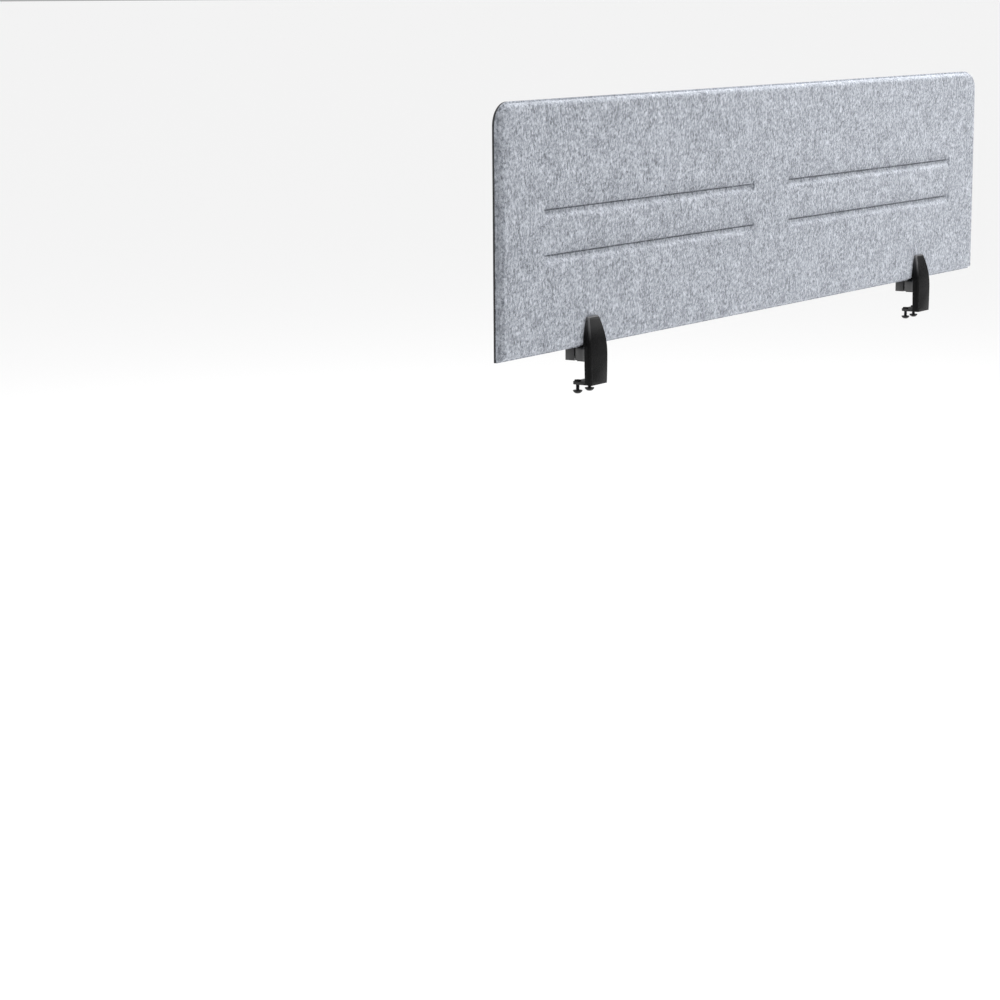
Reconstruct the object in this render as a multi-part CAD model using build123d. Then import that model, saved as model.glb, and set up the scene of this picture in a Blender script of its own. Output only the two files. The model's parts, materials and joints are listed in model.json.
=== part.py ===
"""Desk privacy panel: a moulded felt screen held on the rear edge of a desk by two clamps.

Frame: X along the desk edge with 0 at the middle of the panel, Y from the desk's rear
edge towards the person sitting at it, Z up with 0 at the desktop. All sizes are in mm.
"""
from build123d import *
import os

# ---------------------------------------------------------------- panel
PANEL_LENGTH = 1390.0
PANEL_HEIGHT = 330.0
PANEL_BASE = 20.0               # bottom edge above the desktop, which rests on the clamps' arms
PANEL_CORNER_RADIUS = 30.0      # the two upper corners
PANEL_FRONT = 2.5               # outer felt face behind the desk's edge plane
FELT_DEPTH = 10.0
FELT_FLANGE = 2.0               # felt left where the rim is pressed flat
FELT_RIM = 2.5                  # width of the flat rim
FELT_SHOULDER = 6.0             # radius from the rim's step to the face
BOARD_THICKNESS = 3.5

# pressed grooves, two rows of two
GROOVE_HEIGHTS = (149.7, 209.2)  # crease above the desktop
GROOVE_INNER_END = 51.0          # from the middle of the panel
GROOVE_END_MARGIN = 97.0         # from the panel's end
GROOVE_DEPTH = 4.0
GROOVE_LIP_DROP = 1.6            # depth where the rolled lips meet the straight walls
GROOVE_UPPER_ROLL = 8.0
GROOVE_UPPER_WALL = 1.0
GROOVE_FLOOR = 5.0
GROOVE_LOWER_WALL = 4.6
GROOVE_LOWER_ROLL = 6.4

# ---------------------------------------------------------------- desk clamp
CLAMP_INSET = 208.0              # middle of each clamp from the panel's end
DESK_THICKNESS = 25.0
DESK_SPARE = 2.0                 # clear height between the arm and the lip, beyond the desk's
STEEL = 4.0                      # bracket strip
WEB_WIDTH = 30.0
WEB_ABOVE_PAD = 1.0
LIP_WIDTH = 40.0
LIP_REACH = 21.0
LIP_CORNER_RADIUS = 5.0

COVER_FOOT_WIDTH = 39.5
COVER_WIDEST = 42.2
COVER_WIDEST_HEIGHT = 12.0
COVER_CROWN_WIDTH = 26.0
COVER_TOP = 60.4
COVER_OUTER = 10.7               # depth of the cover behind the desk's edge plane
COVER_CROWN_OUTER = 1.3          # the same at its crown
COVER_LEAN_START = 5.0           # height where its back starts to curve in towards the crown
COVER_EDGE_RADIUS = 2.4
COVER_CROWN_RADIUS = 3.5
COVER_FELT_GAP = 0.3
POCKET_CLEARANCE = 0.2

ARM_WIDTH = 37.0
ARM_ROOT_WIDTH = 41.0            # where it flares into the cover
ARM_FLARE = 7.0
ARM_EDGE_RADIUS = 3.5            # along its two upper edges
JAW_GAP = 2.2                    # open joint between the arm and the sliding jaw
JAW_REACH = 14.5
JAW_WIDTH = 37.0
JAW_FLOOR_GAP = 1.0
JAW_EDGE_RADIUS = 1.0
JAW_TOP_RADIUS = 4.0
UPSTAND_THICKNESS = 5.0
UPSTAND_WIDTH = 30.0
UPSTAND_TOP_WIDTH = 24.0
UPSTAND_ABOVE_PAD = 5.0
UPSTAND_CORNER_RADIUS = 4.0
DESK_PAD = 1.5
PAD_MARGIN = 1.5
GRIP_PAD_WIDTH = 22.0
GRIP_PAD_MARGIN = 5.0            # above the panel's bottom edge
GRIP_PAD_HEIGHT = 19.0
JAW_PAD_HEIGHT = 26.0
JAW_PAD_THICKNESS = 2.0

# ---------------------------------------------------------------- fasteners
HARDWARE_HEIGHT = 10.0           # axis of the draw bolt and the guide pins
BOLT_DIAMETER = 5.0
BOLT_HEAD_DIAMETER = 8.5
BOLT_HEAD_HEIGHT = 5.0
BOLT_HEX = 4.0
BOLT_HEX_DEPTH = 2.5
BOLT_HEAD_RECESS = 6.0           # counterbore in the jaw's front
BOLT_END_WALL = 2.0              # arm left behind the bolt's tip
RING_THICKNESS = 0.8
RING_DIAMETER = 8.0
RING_GAP = 0.2
NUT_WIDTH = 8.0
NUT_THICKNESS = 4.0
NUT_SETBACK = 4.0                # nut from the desk's edge plane
PIN_DIAMETER = 4.0
PIN_SPACING = 26.0
PIN_SEAT = 9.0                   # length pressed into the arm
PIN_LENGTH = 21.0
M3_DIAMETER = 3.0
M3_HEAD_DIAMETER = 5.8
M3_HEAD_HEIGHT = 1.7
ARM_SCREW_SPACING = 17.0
ARM_SCREW_LENGTH = 12.0
COVER_SCREW_SPACING = 18.0
COVER_SCREW_HEIGHT = -13.0
COVER_SCREW_LENGTH = 8.5
RUNNING_CLEARANCE = 0.05         # radial, for a shaft that turns or slides in a hole
THROUGH_CLEARANCE = 0.2          # radial, for a shank that passes through
SEAT_CLEARANCE = 0.1

THUMB_SCREW_SPACING = 29.0
THUMB_SCREW_DEPTH = 15.0         # axis from the desk's edge plane
THUMB_SCREW_DIAMETER = 5.0
THUMB_SCREW_SHOWING = 8.0        # thread showing below the lip
TIP_DIAMETER = 3.0
TIP_LENGTH = 0.8
PRESSURE_PAD_DIAMETER = 9.0
PRESSURE_PAD_THICKNESS = 1.5
KNOB_DIAMETER = 13.0
KNOB_HEIGHT = 4.3
KNOB_RIM = 1.0
KNOB_FLARE = 0.5                 # slope of its dome just under the rim, run over fall
KNOB_END_DIAMETER = 6.0
KNOB_SOCKET_DEPTH = 1.6

# ---------------------------------------------------------------- places worked out from the sizes
FELT_BACK = PANEL_FRONT + FELT_DEPTH
PANEL_BACK = FELT_BACK + BOARD_THICKNESS
PANEL_TOP = PANEL_BASE + PANEL_HEIGHT
GROOVE_LENGTH = PANEL_LENGTH / 2 - GROOVE_INNER_END - GROOVE_END_MARGIN
CLAMP_OFFSET = PANEL_LENGTH / 2 - CLAMP_INSET
LIP_TOP = -DESK_THICKNESS - DESK_SPARE
CLAMP_BOTTOM = LIP_TOP - STEEL
ARM_HEIGHT = PANEL_BASE
GRIP_PAD_BOTTOM = PANEL_BASE + GRIP_PAD_MARGIN
WEB_TOP = GRIP_PAD_BOTTOM + GRIP_PAD_HEIGHT + WEB_ABOVE_PAD
UPSTAND_TOP = GRIP_PAD_BOTTOM + JAW_PAD_HEIGHT + UPSTAND_ABOVE_PAD
JAW_FRONT = PANEL_BACK + JAW_PAD_THICKNESS
ARM_REACH = JAW_FRONT - JAW_GAP
JAW_BACK = JAW_FRONT + JAW_REACH
BOLT_SEAT = JAW_BACK - BOLT_HEAD_RECESS
KNOB_TOP = CLAMP_BOTTOM - THUMB_SCREW_SHOWING
OUTSIDE = 50.0                   # how far a cutting tool stands out of what it cuts


# ---------------------------------------------------------------- building blocks
def block(x, y, z):
    """Box between two coordinates on each axis."""
    size = (x[1] - x[0], y[1] - y[0], z[1] - z[0])
    middle = ((x[0] + x[1]) / 2, (y[0] + y[1]) / 2, (z[0] + z[1]) / 2)
    return Pos(*middle) * Box(*size)


def rod_y(x, z, y, diameter):
    """Round bar along Y between two depths."""
    middle = Pos(x, (y[0] + y[1]) / 2, z)
    return middle * Rot(90, 0, 0) * Cylinder(diameter / 2, y[1] - y[0])


def rod_z(x, y, z, diameter):
    """Round bar along Z between two heights."""
    return Pos(x, y, (z[0] + z[1]) / 2) * Cylinder(diameter / 2, z[1] - z[0])


def slab(outline, y):
    """Outline drawn in X and Z, thickened between two depths."""
    return extrude(Plane.XZ.offset(-y[1]) * outline, amount=y[1] - y[0])


def mirrored_pair(spacing):
    """The two places of a pair of fasteners along the desk edge."""
    return (-spacing / 2, spacing / 2)


def group(pieces):
    """Separate solids kept as one node."""
    return Compound(children=list(pieces))


# ---------------------------------------------------------------- panel pieces
def panel_outline(inset=0.0):
    """Front view of the panel: square at the foot, rounded at the two upper corners."""
    size = (PANEL_LENGTH - 2 * inset, PANEL_HEIGHT - 2 * inset)
    outline = Pos(0, (PANEL_BASE + PANEL_TOP) / 2) * Rectangle(*size)
    upper = outline.vertices().group_by(Axis.Y)[-1]
    return fillet(upper, PANEL_CORNER_RADIUS - inset)


def groove_cutter(start, height):
    """Solid that presses one groove: a rolled upper lip, a steep wall, a floor and a long lower slope."""
    front = PANEL_FRONT
    lip = front + GROOVE_LIP_DROP
    floor = front + GROOVE_DEPTH
    upper_lip = (lip, height + GROOVE_UPPER_WALL)
    upper_end = (front, height + GROOVE_UPPER_WALL + GROOVE_UPPER_ROLL)
    floor_end = (floor, height - GROOVE_FLOOR)
    lower_lip = (lip, height - GROOVE_FLOOR - GROOVE_LOWER_WALL)
    lower_end = (front, height - GROOVE_FLOOR - GROOVE_LOWER_WALL - GROOVE_LOWER_ROLL)
    edges = [
        TangentArc(upper_end, upper_lip, tangent=(0, -1)),
        Line(upper_lip, (floor, height)),
        Line((floor, height), floor_end),
        Line(floor_end, lower_lip),
        TangentArc(lower_end, lower_lip, tangent=(0, 1)),
        Line(lower_end, (front - 1, lower_end[1])),
        Line((front - 1, lower_end[1]), (front - 1, upper_end[1])),
        Line((front - 1, upper_end[1]), upper_end),
    ]
    profile = make_face(edges)
    return extrude(Plane.YZ.offset(start) * profile, amount=GROOVE_LENGTH)


def felt_face():
    """Moulded felt skin: a pressed flat rim, a rounded shoulder and the grooved face."""
    rim = slab(panel_outline(), (FELT_BACK - FELT_FLANGE, FELT_BACK))
    raised = slab(panel_outline(FELT_RIM), (PANEL_FRONT, FELT_BACK))
    front = raised.faces().sort_by(Axis.Y)[0]
    felt = rim + fillet(front.edges(), FELT_SHOULDER)
    for height in GROOVE_HEIGHTS:
        for start in (GROOVE_INNER_END, -GROOVE_INNER_END - GROOVE_LENGTH):
            felt -= groove_cutter(start, height)
    return felt


def backing_board():
    """Stiff board bonded to the back of the felt, to the same outline."""
    return slab(panel_outline(), (FELT_BACK, PANEL_BACK))


# ---------------------------------------------------------------- fixed pieces of a clamp
def bracket():
    """Bent steel strip: the upright web in the cover and the lip under the desk."""
    half = WEB_WIDTH / 2
    web = block((-half, half), (-STEEL, 0), (CLAMP_BOTTOM, WEB_TOP))
    web = fillet(web.edges().filter_by(Axis.X).group_by(Axis.Z)[0].sort_by(Axis.Y)[0], STEEL * 0.75)
    web = fillet(web.edges().filter_by(Axis.Y).group_by(Axis.Z)[-1], STEEL)
    lip = block((-LIP_WIDTH / 2, LIP_WIDTH / 2), (0, LIP_REACH), (CLAMP_BOTTOM, LIP_TOP))
    lip = fillet(lip.edges().filter_by(Axis.Z).group_by(Axis.Y)[-1], LIP_CORNER_RADIUS)
    strip = web + lip
    for x in mirrored_pair(THUMB_SCREW_SPACING):
        hole = THUMB_SCREW_DIAMETER + 2 * RUNNING_CLEARANCE
        strip -= rod_z(x, THUMB_SCREW_DEPTH, (CLAMP_BOTTOM - OUTSIDE, 0), hole)
    for cutter in cover_screw_solids(SEAT_CLEARANCE) + arm_screw_solids(SEAT_CLEARANCE):
        strip -= cutter
    return strip


def cover_outline():
    """Front view of the cover: bowed sides drawn in to a flat crown with rounded corners."""
    foot, wide, crown = COVER_FOOT_WIDTH / 2, COVER_WIDEST / 2, COVER_CROWN_WIDTH / 2
    edges = [
        Line((crown, COVER_TOP), (-crown, COVER_TOP)),
        Line((foot, CLAMP_BOTTOM), (-foot, CLAMP_BOTTOM)),
    ]
    for side in (-1, 1):
        widest = (side * wide, COVER_WIDEST_HEIGHT)
        edges.append(TangentArc(widest, (side * crown, COVER_TOP), tangent=(0, 1)))
        edges.append(TangentArc(widest, (side * foot, CLAMP_BOTTOM), tangent=(0, -1)))
    outline = make_face(edges)
    return fillet(outline.vertices().group_by(Axis.Y)[-1], COVER_CROWN_RADIUS)


def cover_profile():
    """Side view of the cover: an upright back that curves in to the crown."""
    felt_side = PANEL_FRONT - COVER_FELT_GAP
    shelf = ARM_HEIGHT + COVER_FELT_GAP
    lean_start = (-COVER_OUTER, COVER_LEAN_START)
    crown = (-COVER_CROWN_OUTER, COVER_TOP)
    front = Polyline(crown, (felt_side, COVER_TOP), (felt_side, shelf), (0, shelf), (0, CLAMP_BOTTOM))
    back = Polyline((0, CLAMP_BOTTOM), (-COVER_OUTER, CLAMP_BOTTOM), lean_start)
    return make_face([*front.edges(), *back.edges(), TangentArc(lean_start, crown, tangent=(0, 1))])


def outer_cover():
    """Moulded cover behind the desk edge, with a pocket for the bracket's web and the grip pad."""
    body = slab(cover_outline(), (-COVER_OUTER - 1, PANEL_FRONT))
    width = COVER_WIDEST + OUTSIDE
    body = body & extrude(Plane.YZ.offset(-width / 2) * cover_profile(), amount=width)
    outer = body.faces().sort_by(Axis.Y)[:2]
    edges = [edge for face in outer for edge in face.edges() if edge.center().Z > CLAMP_BOTTOM + 1]
    seam = [edge for edge in edges if abs(edge.center().X) < 1 and edge.center().Z < COVER_TOP - 1]
    rounded = ShapeList([edge for edge in edges if edge not in seam])
    body = fillet(rounded, COVER_EDGE_RADIUS)
    half = WEB_WIDTH / 2 + POCKET_CLEARANCE
    pocket = block((-half, half), (-STEEL - POCKET_CLEARANCE, OUTSIDE), (-OUTSIDE, WEB_TOP + POCKET_CLEARANCE))
    body -= pocket
    for screw in cover_screw_solids(0.0):
        body -= screw
    for x in mirrored_pair(ARM_SCREW_SPACING):
        head = M3_HEAD_DIAMETER + 2 * THROUGH_CLEARANCE
        body -= rod_y(x, HARDWARE_HEIGHT, (-STEEL - M3_HEAD_HEIGHT - 1, 0), head)
    return body


def screw_solid(x, z, y_head, direction, length, clearance):
    """Countersunk screw along Y: flat head outwards, its shank pointing in the given direction."""
    head = Cone(
        (M3_HEAD_DIAMETER / 2) + clearance,
        M3_DIAMETER / 2 + clearance,
        M3_HEAD_HEIGHT,
        align=(Align.CENTER, Align.CENTER, Align.MIN),
    )
    shank = Cylinder(M3_DIAMETER / 2 + clearance, length, align=(Align.CENTER, Align.CENTER, Align.MIN))
    return Pos(x, y_head, z) * Rot(-90 * direction, 0, 0) * (head + shank)


def cover_screw_solids(clearance):
    """Screws from the desk side through the web into the cover."""
    return [
        screw_solid(x, COVER_SCREW_HEIGHT, 0, -1, COVER_SCREW_LENGTH, clearance)
        for x in mirrored_pair(COVER_SCREW_SPACING)
    ]


def arm_screw_solids(clearance):
    """Screws from behind the web into the arm."""
    return [
        screw_solid(x, HARDWARE_HEIGHT, -STEEL, 1, ARM_SCREW_LENGTH, clearance)
        for x in mirrored_pair(ARM_SCREW_SPACING)
    ]


def outer_grip_pad():
    """Rubber pad on the web, against the felt."""
    half = GRIP_PAD_WIDTH / 2
    top = GRIP_PAD_BOTTOM + GRIP_PAD_HEIGHT
    return block((-half, half), (0, PANEL_FRONT), (GRIP_PAD_BOTTOM, top))


def arm_block():
    """Arm on the desktop under the panel, flared where it meets the cover."""
    root, half = ARM_ROOT_WIDTH / 2, ARM_WIDTH / 2
    flare = [
        TangentArc((half, ARM_FLARE), (root, 0), tangent=(0, -1)),
        TangentArc((-half, ARM_FLARE), (-root, 0), tangent=(0, -1)),
    ]
    sides = [
        Line((half, ARM_FLARE), (half, ARM_REACH)),
        Line((half, ARM_REACH), (-half, ARM_REACH)),
        Line((-half, ARM_REACH), (-half, ARM_FLARE)),
        Line((-root, 0), (root, 0)),
    ]
    plan = make_face(flare + sides)
    arm = extrude(Plane.XY.offset(DESK_PAD) * plan, amount=ARM_HEIGHT - DESK_PAD)
    upper = arm.faces().sort_by(Axis.Z)[-1].edges()
    arm = fillet([edge for edge in upper if abs(edge.center().X) > half / 2], ARM_EDGE_RADIUS)
    bolt_hole = BOLT_DIAMETER + 2 * RUNNING_CLEARANCE
    arm -= rod_y(0, HARDWARE_HEIGHT, (BOLT_END_WALL - 1, OUTSIDE), bolt_hole)
    arm -= nut_pocket()
    for x in mirrored_pair(PIN_SPACING):
        arm -= rod_y(x, HARDWARE_HEIGHT, (ARM_REACH - PIN_SEAT, OUTSIDE), PIN_DIAMETER)
    for screw in arm_screw_solids(0.0):
        arm -= screw
    return arm


def nut_pocket():
    """Slot up from the arm's underside that holds the nut from turning."""
    half = NUT_WIDTH / 2 + SEAT_CLEARANCE
    depth = (NUT_SETBACK - SEAT_CLEARANCE, NUT_SETBACK + NUT_THICKNESS + SEAT_CLEARANCE)
    corner = NUT_WIDTH / 3 ** 0.5 + SEAT_CLEARANCE
    return block((-half, half), depth, (0, HARDWARE_HEIGHT + corner))


def desktop_pad():
    """Rubber pad under the arm."""
    half = ARM_WIDTH / 2 - PAD_MARGIN
    return block((-half, half), (PAD_MARGIN, ARM_REACH - PAD_MARGIN), (0, DESK_PAD))


def draw_nut():
    """Hexagon nut that the draw bolt turns in."""
    hexagon = Rot(0, 0, 30) * RegularPolygon(NUT_WIDTH / 2, 6, major_radius=False)
    depth = (NUT_SETBACK, NUT_SETBACK + NUT_THICKNESS)
    nut = slab(Pos(0, HARDWARE_HEIGHT) * hexagon, depth)
    hole = BOLT_DIAMETER + 2 * RUNNING_CLEARANCE
    return nut - rod_y(0, HARDWARE_HEIGHT, (-OUTSIDE, OUTSIDE), hole)


def guide_pins():
    """Two pins pressed into the arm, on which the jaw slides."""
    start = ARM_REACH - PIN_SEAT
    return group(
        rod_y(x, HARDWARE_HEIGHT, (start, start + PIN_LENGTH), PIN_DIAMETER)
        for x in mirrored_pair(PIN_SPACING)
    )


# ---------------------------------------------------------------- moving pieces of a clamp
def inner_jaw():
    """Sliding jaw: a foot over the desktop and an upstand behind the panel."""
    half = JAW_WIDTH / 2
    foot = block((-half, half), (JAW_FRONT, JAW_BACK), (JAW_FLOOR_GAP, ARM_HEIGHT))
    foot = fillet(foot.edges().filter_by(Axis.Y).group_by(Axis.Z)[-1], JAW_TOP_RADIUS)
    back_edges = foot.faces().sort_by(Axis.Y)[-1].edges()
    foot = fillet(back_edges.sort_by(Axis.Z)[1:], JAW_EDGE_RADIUS)
    low, top = UPSTAND_WIDTH / 2, UPSTAND_TOP_WIDTH / 2
    outline = make_face(Polyline(
        (low, ARM_HEIGHT - 1), (top, UPSTAND_TOP), (-top, UPSTAND_TOP), (-low, ARM_HEIGHT - 1), close=True,
    ))
    outline = fillet(outline.vertices().group_by(Axis.Y)[-1], UPSTAND_CORNER_RADIUS)
    jaw = foot + slab(outline, (JAW_FRONT, JAW_FRONT + UPSTAND_THICKNESS))
    jaw -= rod_y(0, HARDWARE_HEIGHT, (0, OUTSIDE), BOLT_DIAMETER + 2 * THROUGH_CLEARANCE)
    jaw -= rod_y(0, HARDWARE_HEIGHT, (BOLT_SEAT, OUTSIDE), BOLT_HEAD_DIAMETER + 2 * THROUGH_CLEARANCE)
    pin_end = ARM_REACH - PIN_SEAT + PIN_LENGTH + 1
    for x in mirrored_pair(PIN_SPACING):
        jaw -= rod_y(x, HARDWARE_HEIGHT, (0, pin_end), PIN_DIAMETER + 2 * RUNNING_CLEARANCE)
    return jaw


def inner_grip_pad():
    """Rubber pad on the jaw's upstand, against the board."""
    half = GRIP_PAD_WIDTH / 2
    return block((-half, half), (PANEL_BACK, JAW_FRONT), (GRIP_PAD_BOTTOM, GRIP_PAD_BOTTOM + JAW_PAD_HEIGHT))


def ring_depth():
    """The retaining ring's two faces, just short of the jaw."""
    return (JAW_FRONT - RING_GAP - RING_THICKNESS, JAW_FRONT - RING_GAP)


def draw_bolt():
    """Socket-head bolt that pulls the jaw towards the panel, grooved for its retaining ring."""
    head = rod_y(0, HARDWARE_HEIGHT, (BOLT_SEAT, BOLT_SEAT + BOLT_HEAD_HEIGHT), BOLT_HEAD_DIAMETER)
    shank = rod_y(0, HARDWARE_HEIGHT, (BOLT_END_WALL, BOLT_SEAT + 1), BOLT_DIAMETER)
    socket_start = BOLT_SEAT + BOLT_HEAD_HEIGHT - BOLT_HEX_DEPTH
    hexagon = Pos(0, HARDWARE_HEIGHT) * RegularPolygon(BOLT_HEX / 2, 6, major_radius=False)
    socket = slab(hexagon, (socket_start, socket_start + OUTSIDE))
    groove = rod_y(0, HARDWARE_HEIGHT, ring_depth(), RING_DIAMETER)
    core = rod_y(0, HARDWARE_HEIGHT, ring_depth(), BOLT_DIAMETER - 2 * RING_THICKNESS)
    return head + shank - socket - (groove - core)


def retaining_ring():
    """Ring in the bolt's groove that pushes the jaw open."""
    ring = rod_y(0, HARDWARE_HEIGHT, ring_depth(), RING_DIAMETER)
    hole = BOLT_DIAMETER - 2 * RING_THICKNESS + 2 * RUNNING_CLEARANCE
    return ring - rod_y(0, HARDWARE_HEIGHT, (0, OUTSIDE), hole)


def thumb_screw_stem(x):
    """Threaded stem of a thumb screw, with a narrow tip that snaps into its pressure pad."""
    y = THUMB_SCREW_DEPTH
    shoulder = -DESK_THICKNESS - PRESSURE_PAD_THICKNESS - RUNNING_CLEARANCE
    stem = rod_z(x, y, (KNOB_TOP - KNOB_HEIGHT / 2, shoulder), THUMB_SCREW_DIAMETER)
    return stem + rod_z(x, y, (shoulder - 1, shoulder + TIP_LENGTH), TIP_DIAMETER)


def thumb_screw_knob(x):
    """Mushroom knob moulded on the stem's lower end, with a hexagon socket in its end."""
    rim, end = KNOB_DIAMETER / 2, KNOB_END_DIAMETER / 2
    rim_low = KNOB_TOP - KNOB_RIM
    bottom = KNOB_TOP - KNOB_HEIGHT
    profile = make_face([
        Line((0, KNOB_TOP), (rim, KNOB_TOP)),
        Line((rim, KNOB_TOP), (rim, rim_low)),
        TangentArc((rim, rim_low), (end, bottom), tangent=(-KNOB_FLARE, -1)),
        Line((end, bottom), (0, bottom)),
        Line((0, bottom), (0, KNOB_TOP)),
    ])
    knob = Pos(x, THUMB_SCREW_DEPTH, 0) * revolve(Plane.XZ * profile, Axis.Z)
    knob -= rod_z(x, THUMB_SCREW_DEPTH, (KNOB_TOP - KNOB_HEIGHT / 2, 0), THUMB_SCREW_DIAMETER)
    hexagon = RegularPolygon(BOLT_HEX / 2, 6, major_radius=False)
    socket = extrude(Plane.XY.offset(bottom) * hexagon, amount=KNOB_SOCKET_DEPTH)
    return knob - Pos(x, THUMB_SCREW_DEPTH, 0) * socket


def pressure_pad(x):
    """Round pad on the screw's tip, against the desk's underside."""
    y = THUMB_SCREW_DEPTH
    bottom = -DESK_THICKNESS - PRESSURE_PAD_THICKNESS
    pad = rod_z(x, y, (bottom, -DESK_THICKNESS), PRESSURE_PAD_DIAMETER)
    socket = TIP_DIAMETER + 2 * RUNNING_CLEARANCE
    return pad - rod_z(x, y, (bottom - 1, bottom + TIP_LENGTH), socket)


# ---------------------------------------------------------------- the assembly
def clamp_nodes():
    """Every piece of one clamp, by name, with the clamp's middle at X = 0."""
    nodes = {
        "bracket": bracket(),
        "outer_cover": outer_cover(),
        "outer_grip_pad": outer_grip_pad(),
        "arm_block": arm_block(),
        "desktop_pad": desktop_pad(),
        "cover_screws": group(cover_screw_solids(0.0)),
        "arm_screws": group(arm_screw_solids(0.0)),
        "guide_pins": guide_pins(),
        "draw_nut": draw_nut(),
        "inner_jaw": inner_jaw(),
        "inner_grip_pad": inner_grip_pad(),
        "draw_bolt": draw_bolt(),
        "retaining_ring": retaining_ring(),
    }
    for letter, x in zip("ab", mirrored_pair(THUMB_SCREW_SPACING)):
        nodes["screw_stem_" + letter] = thumb_screw_stem(x)
        nodes["screw_knob_" + letter] = thumb_screw_knob(x)
        nodes["pressure_pad_" + letter] = pressure_pad(x)
    return nodes


def main():
    """Build every node and write one STEP file for each."""
    os.makedirs("parts", exist_ok=True)
    nodes = {"felt_face": felt_face(), "backing_board": backing_board()}
    clamp = clamp_nodes()
    for side, x in (("left", -CLAMP_OFFSET), ("right", CLAMP_OFFSET)):
        for name, piece in clamp.items():
            nodes[side + "_" + name] = Pos(x, 0, 0) * piece
    for name, piece in nodes.items():
        export_step(piece, "parts/" + name + ".step")
        print(name)


main()
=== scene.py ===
"""Looks of a desk privacy panel: moulded felt on a charcoal board, held by two black desk clamps."""

import json
import logging
import math
from dataclasses import dataclass, field
from enum import Enum
from typing import Callable, Sequence

import bmesh
import bpy
from mathutils import Matrix, Vector, noise


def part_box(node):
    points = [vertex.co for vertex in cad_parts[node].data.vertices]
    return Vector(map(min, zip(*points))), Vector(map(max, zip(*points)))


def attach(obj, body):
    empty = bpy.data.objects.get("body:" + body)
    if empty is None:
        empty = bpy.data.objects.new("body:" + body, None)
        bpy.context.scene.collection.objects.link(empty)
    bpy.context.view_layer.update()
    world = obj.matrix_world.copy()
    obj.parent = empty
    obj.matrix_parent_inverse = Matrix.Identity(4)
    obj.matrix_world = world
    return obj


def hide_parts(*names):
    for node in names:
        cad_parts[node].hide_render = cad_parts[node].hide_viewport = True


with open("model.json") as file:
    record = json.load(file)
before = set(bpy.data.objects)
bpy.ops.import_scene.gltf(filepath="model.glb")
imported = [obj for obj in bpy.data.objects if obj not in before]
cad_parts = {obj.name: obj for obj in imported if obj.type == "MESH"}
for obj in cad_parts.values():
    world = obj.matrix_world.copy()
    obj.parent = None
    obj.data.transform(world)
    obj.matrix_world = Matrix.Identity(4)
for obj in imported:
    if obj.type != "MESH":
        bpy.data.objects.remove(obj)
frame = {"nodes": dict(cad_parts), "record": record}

LOG = logging.getLogger("desk_panel")
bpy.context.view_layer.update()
MM = 0.001
# groove attribute: painted shade in and above each crease, painted light on each lower wall
GROOVE_PAINTED_SHADING = "pressed"
# face attribute of edge tightness: glossier edges, and a painted highlight on the black nylon
EDGE_TIGHTNESS = "polished"
MIX_FACTOR, MIX_FIRST, MIX_SECOND, MIX_RESULT = 0, 6, 7, 2  # colour sockets of a Mix node

Point = tuple[float, float, float]
Rgb = tuple[float, float, float]
Socket = bpy.types.NodeSocket
Material = bpy.types.Material
Mesh = bpy.types.Mesh
Object = bpy.types.Object


# ------------------------------------------------------------------ shared tools
class NodeWriter:
    """Writes nodes into one tree and links them by socket name."""

    def __init__(self, tree: bpy.types.NodeTree) -> None:
        """Start from an empty tree.

        Args:
            tree: the shader or geometry tree to write in.
        """
        self.tree = tree
        tree.nodes.clear()

    def add(self, kind: str, inputs: dict | None = None, **settings: object) -> bpy.types.Node:
        """Add one node.

        Args:
            kind: the node's type name.
            inputs: a value or a socket for each input, by name or place.
            settings: the node's own properties.

        Returns:
            The new node.
        """
        node = self.tree.nodes.new(kind)
        for name, value in settings.items():
            setattr(node, name, value)
        for key, value in (inputs or {}).items():
            if isinstance(value, Socket):
                self.tree.links.new(value, node.inputs[key])
            else:
                node.inputs[key].default_value = value
        return node

    def math(self, operation: str, *values: object) -> Socket:
        """Add a Math node, of either kind of tree.

        Args:
            operation: its operation.
            values: a number or a socket for each input.

        Returns:
            Its result.
        """
        node = self.add("ShaderNodeMath", dict(enumerate(values)), operation=operation)
        return node.outputs[0]

    def noise(self, place: Socket, scale: float, detail: float, roughness: float,
              distortion: float = 0.0) -> Socket:
        """Add a Noise Texture node.

        Args:
            place: where on the piece.
            scale: how many features lie along one metre.
            detail: how many finer layers it has.
            roughness: how strong the finer layers are.
            distortion: how much the pattern winds.

        Returns:
            A value about 0.5.
        """
        node = self.add("ShaderNodeTexNoise", {
            "Vector": place, "Scale": scale, "Detail": detail, "Roughness": roughness,
            "Distortion": distortion,
        })
        return node.outputs["Fac"]

    def remap(self, value: Socket, source: tuple[object, object], target: tuple[float, float],
              **settings: object) -> Socket:
        """Add a Map Range node, clamped at both ends.

        Args:
            value: what to map.
            source: a number or a socket for each end of the source range.
            target: what those ends become.
            settings: the node's own properties.

        Returns:
            The mapped value.
        """
        node = self.add("ShaderNodeMapRange", {
            "Value": value, "From Min": source[0], "From Max": source[1],
            "To Min": target[0], "To Max": target[1],
        }, **settings)
        return node.outputs["Result"]


def new_object(name: str, mesh: Mesh) -> Object:
    """Put a mesh in the scene.

    Args:
        name: the object's name.
        mesh: its mesh, with its place in its vertices.

    Returns:
        The new object, at the origin.
    """
    mesh.name = name
    obj = bpy.data.objects.new(name, mesh)
    bpy.context.scene.collection.objects.link(obj)
    return obj


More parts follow.
